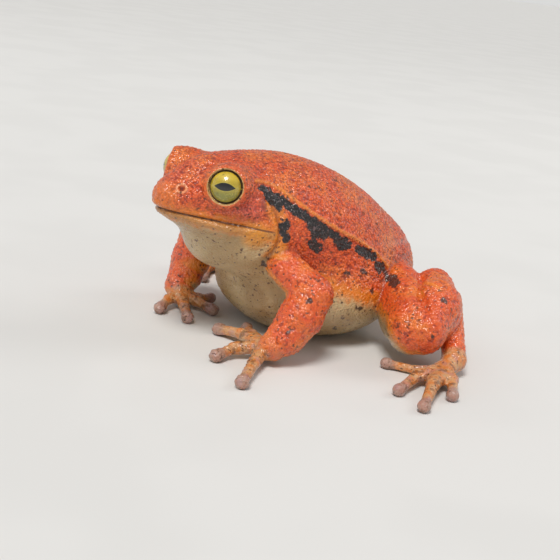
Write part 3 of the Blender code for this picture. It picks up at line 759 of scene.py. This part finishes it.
def skin_material():
    """Granular wet skin: orange-red back, cream belly, black stripe, tan fingers and toes."""
    paint = Paint("frog_skin", (0.78, 0.105, 0.012))
    belly, limb, hand = (paint.attribute(n) for n in ("belly", "limb", "hand"))
    cloud, mottle = paint.noise(9, 3), paint.noise(2.2, 3, 3.1)
    fine = paint.noise(0.7, 2, 7.7)
    grain = paint.attribute("grain")

    paint.over((0.84, 0.19, 0.018), paint.step(cloud, 0.42, 0.66))
    paint.over((0.64, 0.050, 0.014), paint.step(mottle, 0.50, 0.72, 0.7))
    # Painted reflection: a pinker, lighter patch on the cheek stands in for the sky's sheen on wet skin.
    paint.over((0.68, 0.10, 0.065), paint.step(paint.attribute("cheek"), 9, 3, 0.8))
    # Painted highlight on the tops of the granules and painted shade between them.
    paint.over((0.84, 0.17, 0.035), paint.step(grain, 0.6, 0.95, 0.5))
    paint.over((0.24, 0.014, 0.005), paint.step(grain, 0.4, 0.05, 0.7))
    granules = paint.cells(0.62, 0.007)
    # Painted shade: thin dark gaps between the fine granules.
    painted_gap_shade = paint.maths(TIMES, paint.step(granules, 0.44, 0.70, 0.55), paint.step(limb, 1.6, 0.0))
    paint.over((0.20, 0.010, 0.003), painted_gap_shade)
    # Painted highlights: whitish glints on the tops of the granules, in patches, in place of the wet skin's
    # sparkle.
    wet = paint.step(paint.noise(2.4, 2, 5.2), 0.36, 0.62, 0.8)
    paint.over((1.0, 0.50, 0.30), paint.maths(TIMES, paint.step(granules, 0.26, 0.08), wet))
    # Orange snout, yellower flanks, cream below.
    paint.over((0.72, 0.18, 0.018), paint.step(paint.attribute("snout"), 8, 3, 0.6))
    soft = paint.maths(PLUS, belly, paint.maths(TIMES, paint.maths(MINUS, mottle, 0.5), 0.55))
    paint.over((0.76, 0.22, 0.012), paint.step(soft, 0.05, 0.42, 0.9))
    pale = paint.mixed((0.56, 0.40, 0.20), (0.43, 0.28, 0.12), paint.step(cloud, 0.4, 0.65))
    paint.over(pale, paint.step(soft, 0.45, 0.90))
    # Painted shade in the creases where the limbs meet the trunk.
    paint.over((0.20, 0.025, 0.008), paint.maths(TIMES, paint.attribute("joint"), 0.55))
    # Lower lip, corner of the jaw and the folds.
    lip = paint.attribute("lip")
    band = paint.maths(TIMES, paint.step(lip, -2.5, -1.9), paint.step(lip, 0.3, -0.1))
    paint.over((0.52, 0.23, 0.055), paint.maths(TIMES, band, 0.9))
    paint.over((0.70, 0.26, 0.015), paint.step(paint.attribute("jaw_corner"), 5.0, 2.0, 0.85))
    # Painted shade along the slit of the mouth.
    paint.over((0.09, 0.018, 0.008), paint.step(paint.maths("ABSOLUTE", lip), 0.33, 0.12, 0.8))
    paint.over((0.80, 0.27, 0.02), paint.step(paint.attribute("jaw_fold"), 3.2, 1.2, 0.6))
    # Painted shade: a dark line behind the fold of the jaw.
    paint.over((0.22, 0.04, 0.01), paint.step(paint.attribute("jaw_fold"), 0.6, 0.1, 0.5))
    # A pale orange line along the back fold: partly the skin's own colour, partly a painted highlight on the
    # ridge.
    paint.over((0.88, 0.28, 0.03), paint.step(paint.attribute("fold"), 0.8, 0.15, 0.6))
    # Hands and feet.
    tan = paint.mixed((0.66, 0.24, 0.05), (0.62, 0.36, 0.16), paint.step(mottle, 0.4, 0.6))
    paint.over(tan, paint.maths(TIMES, hand, 0.85))
    tip = paint.attribute("tip")
    paint.over((0.34, 0.22, 0.21), paint.maths(TIMES, hand, paint.step(tip, 3.8, 1.4, 0.75)))
    # Painted sheen: lilac patches on the hands and feet.
    painted_lilac_sheen = paint.maths(TIMES, hand, paint.step(paint.noise(3.2, 2, 1.4), 0.52, 0.66, 0.45))
    paint.over((0.42, 0.24, 0.25), painted_lilac_sheen)
    bars = paint.maths(TIMES, hand, paint.step(paint.noise(2.4, 2, 6.6), 0.56, 0.66, 0.7))
    paint.over((0.16, 0.06, 0.02), bars)
    # Eardrum, nostril and the rims of the eyes.
    paint.over((0.26, 0.050, 0.035), paint.step(paint.attribute("drum"), 1.9, 1.3, 0.65))
    nostril = paint.attribute("nostril")
    ring = paint.maths("ABSOLUTE", paint.maths(MINUS, nostril, 1.25))
    paint.over((0.90, 0.36, 0.16), paint.step(ring, 0.5, 0.15, 0.8))
    # Painted shade in the opening of the nostril.
    paint.over((0.14, 0.015, 0.008), paint.step(nostril, 0.85, 0.55, 0.95))
    rim = paint.attribute("rim")
    paint.over((0.74, 0.13, 0.012), paint.step(rim, 6.2, 5.0, 0.6))
    paint.over((0.62, 0.40, 0.15), paint.step(rim, 4.95, 4.7, 0.85))
    # Small dark dots everywhere, larger blots below, then the stripe.
    ragged = paint.maths(MINUS, paint.noise(1.3, 3, 9.3), 0.5)
    dots = paint.maths(PLUS, paint.cells(2.2, 0.013), paint.maths(TIMES, ragged, 0.4))
    paint.over((0.045, 0.012, 0.007), paint.step(dots, 0.16, 0.08, 0.85))
    gate = paint.step(paint.noise(5, 1, 4.2), 0.46, 0.56)
    specks = paint.maths(TIMES, paint.step(paint.noise(1.1, 2, 8.8), 0.61, 0.67, 0.85), gate)
    paint.over((0.09, 0.030, 0.010), specks)
    stripe = paint.maths(PLUS, paint.attribute("stripe"), paint.maths(TIMES, ragged, 3.0))
    black = paint.mixed((0.008, 0.005, 0.005), (0.16, 0.10, 0.10), paint.step(fine, 0.56, 0.72))
    paint.over(black, paint.step(stripe, 0.25, -0.2))
    spots = paint.maths(PLUS, paint.attribute("spots"), paint.maths(TIMES, ragged, 3.0))
    paint.over((0.035, 0.016, 0.012), paint.step(spots, 0.2, -0.3, 0.9))

    pits = paint.maths(MINUS, paint.maths(TIMES, fine, 0.6), granules)
    relief = paint.finish(fine, 0.25, 0.45, pits, 0.8, 0.3 * MM)
    shader = paint.shader
    paint.tree.links.new(relief, shader.inputs["Coat Normal"])
    shader.inputs["Coat Weight"].default_value = 0.6
    shader.inputs["Coat Roughness"].default_value = 0.10
    shader.inputs["Subsurface Weight"].default_value = 0.10
    shader.inputs["Subsurface Radius"].default_value = (1.0, 0.35, 0.2)
    shader.inputs["Subsurface Scale"].default_value = MM
    return paint.material


def eye_material():
    """Golden iris with a level spindle pupil, a black rim and a clear wet front."""
    paint = Paint("frog_eye", (0.006, 0.005, 0.004))
    across, above = paint.attribute("across"), paint.attribute("above")
    front = paint.step(paint.attribute("ahead"), 0.0, 0.5)
    squares = [paint.maths(TIMES, value, value) for value in (across, above)]
    reach = paint.maths("SQRT", paint.maths(PLUS, *squares))
    fine, cloud = paint.noise(0.35, 3), paint.noise(1.2, 2, 2.0)
    black = paint.colour
    paint.colour = paint.flat((0.47, 0.33, 0.020))
    paint.over((0.26, 0.25, 0.03), paint.step(above, 0.4, -2.4))
    # Painted reflection: the upper part of the iris is lighter and more orange.
    paint.over((0.66, 0.46, 0.03), paint.step(above, 1.2, 2.6, 0.8))
    paint.over((0.62, 0.52, 0.06), paint.step(fine, 0.5, 0.72, 0.7))
    paint.over((0.08, 0.06, 0.01), paint.step(cloud, 0.55, 0.75, 0.5))
    iris, paint.colour = paint.colour, black
    paint.over(iris, paint.maths(TIMES, front, paint.step(reach, 3.96, 3.86)))
    # The pupil's edges are two shallow arches that meet in points.
    share = paint.maths("DIVIDE", across, 2.85)
    arch = paint.maths("MAXIMUM", paint.maths(MINUS, 1.0, paint.maths(TIMES, share, share)), 0.0)
    top = paint.maths(MINUS, paint.maths(TIMES, arch, 1.2), above)
    low = paint.maths(PLUS, paint.maths(TIMES, arch, 1.0), above)
    edge = paint.maths("MINIMUM", top, low)
    paint.over((0.50, 0.42, 0.06), paint.maths(TIMES, paint.step(edge, -0.25, -0.02, 0.6), front))
    paint.over((0.002, 0.002, 0.002), paint.maths(TIMES, paint.step(edge, 0.0, 0.1), front))
    paint.finish(fine, 0.3, 0.45, fine, 0.2, 0.1 * MM)
    paint.shader.inputs["Coat Weight"].default_value = 1.0
    paint.shader.inputs["Coat Roughness"].default_value = 0.015
    return paint.material


def floor_material():
    """Plain pale floor."""
    paint = Paint("pale_floor", (0.70, 0.69, 0.67))
    paint.over((0.72, 0.71, 0.69), paint.step(paint.noise(60, 2), 0.4, 0.6))
    paint.tree.links.new(paint.colour, paint.shader.inputs["Base Color"])
    paint.shader.inputs["Roughness"].default_value = 0.8
    return paint.material


# Stage

def make_camera(place):
    """The photograph's view."""
    azimuth, height, roll = radians(CAMERA_AZIMUTH), radians(CAMERA_HEIGHT), radians(CAMERA_ROLL)
    back = Vector((sin(azimuth) * cos(height), -cos(azimuth) * cos(height), sin(height)))
    right = (-back).cross(Vector((0, 0, 1))).normalized()
    up = right.cross(-back)
    right, up = right * cos(roll) + up * sin(roll), up * cos(roll) - right * sin(roll)
    # Turn a little, so that the frog stands off the middle as in the photograph.
    across, down = ((IMAGE_PIXELS / 2 - pixel) / FOCAL_PIXELS for pixel in TARGET_PIXEL)
    forward = (-back + right * across - up * down).normalized()
    right = forward.cross(up).normalized()
    up = right.cross(forward)
    data = bpy.data.cameras.new("camera")
    data.sensor_width = SENSOR_MM
    data.lens = SENSOR_MM * FOCAL_PIXELS / IMAGE_PIXELS
    data.clip_start, data.clip_end = 0.01, 100
    camera = bpy.data.objects.new("camera", data)
    bpy.context.scene.collection.objects.link(camera)
    turn = Matrix((right, up, -forward)).transposed().to_4x4()
    camera.matrix_world = Matrix.Translation(place @ (Vector(CAMERA_TARGET) + back * CAMERA_DISTANCE)) @ turn
    bpy.context.scene.camera = camera


def make_light(kind, name, energy, size, place, colour):
    """A soft lamp that looks at the frog: an area lamp of a size in metres, or a sun as wide as an angle."""
    data = bpy.data.lights.new(name, kind)
    data.energy, data.color = energy, colour
    if kind == "SUN":
        data.angle = size
    else:
        data.size = size
    lamp = bpy.data.objects.new(name, data)
    lamp.location = place
    lamp.rotation_euler = (Vector((0, 0, 0.02)) - Vector(place)).to_track_quat("-Z", "Y").to_euler()
    bpy.context.scene.collection.objects.link(lamp)


def make_sky():
    """A plain sky that is as pale as the floor where the two meet."""
    world = bpy.data.worlds.new("pale sky")
    world.use_nodes = True
    tree = world.node_tree
    direction = node(tree, "TexCoord").outputs["Generated"]
    height = node(tree, "SeparateXYZ", {0: direction}).outputs["Z"]
    colours = node(tree, "ValToRGB", {0: height})
    horizon, top = colours.color_ramp.elements
    horizon.position, horizon.color = 0.02, (0.70, 0.70, 0.69, 1)
    top.position, top.color = 0.3, (0.34, 0.35, 0.36, 1)
    tree.links.new(colours.outputs["Color"], tree.nodes["Background"].inputs["Color"])
    bpy.context.scene.world = world


def make_stage():
    """Floor, lamps and sky."""
    bm = bmesh.new()
    bmesh.ops.create_circle(bm, cap_ends=True, segments=64, radius=FLOOR_RADIUS)
    floor = mesh_object("floor", bm)
    floor.data.materials.append(floor_material())
    make_light("SUN", "key", 2.3, radians(22), (0.25, -0.4, 0.9), (1.0, 0.98, 0.95))
    make_light("AREA", "fill", 0.9, 0.8, (-0.8, -0.5, 0.5), (0.93, 0.97, 1.0))
    make_light("AREA", "rim", 1.8, 0.4, (0.3, 0.8, 0.7), (1.0, 1.0, 1.0))
    make_sky()


bpy.context.scene.view_settings.view_transform = "Standard"
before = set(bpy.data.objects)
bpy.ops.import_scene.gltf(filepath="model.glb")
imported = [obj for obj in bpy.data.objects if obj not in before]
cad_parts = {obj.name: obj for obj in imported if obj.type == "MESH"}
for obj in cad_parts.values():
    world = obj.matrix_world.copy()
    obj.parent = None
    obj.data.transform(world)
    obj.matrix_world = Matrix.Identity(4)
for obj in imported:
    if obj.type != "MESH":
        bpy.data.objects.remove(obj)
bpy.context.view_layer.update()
eye_low, eye_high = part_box("eye_left")
place = Matrix.Translation((eye_low + eye_high) / 2 - Vector(EYE) * MM) @ Matrix.Scale(MM, 4)

make_camera(place)
make_stage()

skin = make_skin()
skin.data.transform(place)
skin.data.shade_smooth()
skin.data.materials.append(skin_material())
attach(skin, "root")
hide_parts(*[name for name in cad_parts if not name.startswith("eye")])

iris = eye_material()
for name, side in (("eye_left", 1), ("eye_right", -1)):
    eye = make_eye("detailed_" + name, side)
    eye.data.transform(place)
    eye.data.shade_smooth()
    eye.data.materials.append(iris)
    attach(eye, "root")
    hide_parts(name)
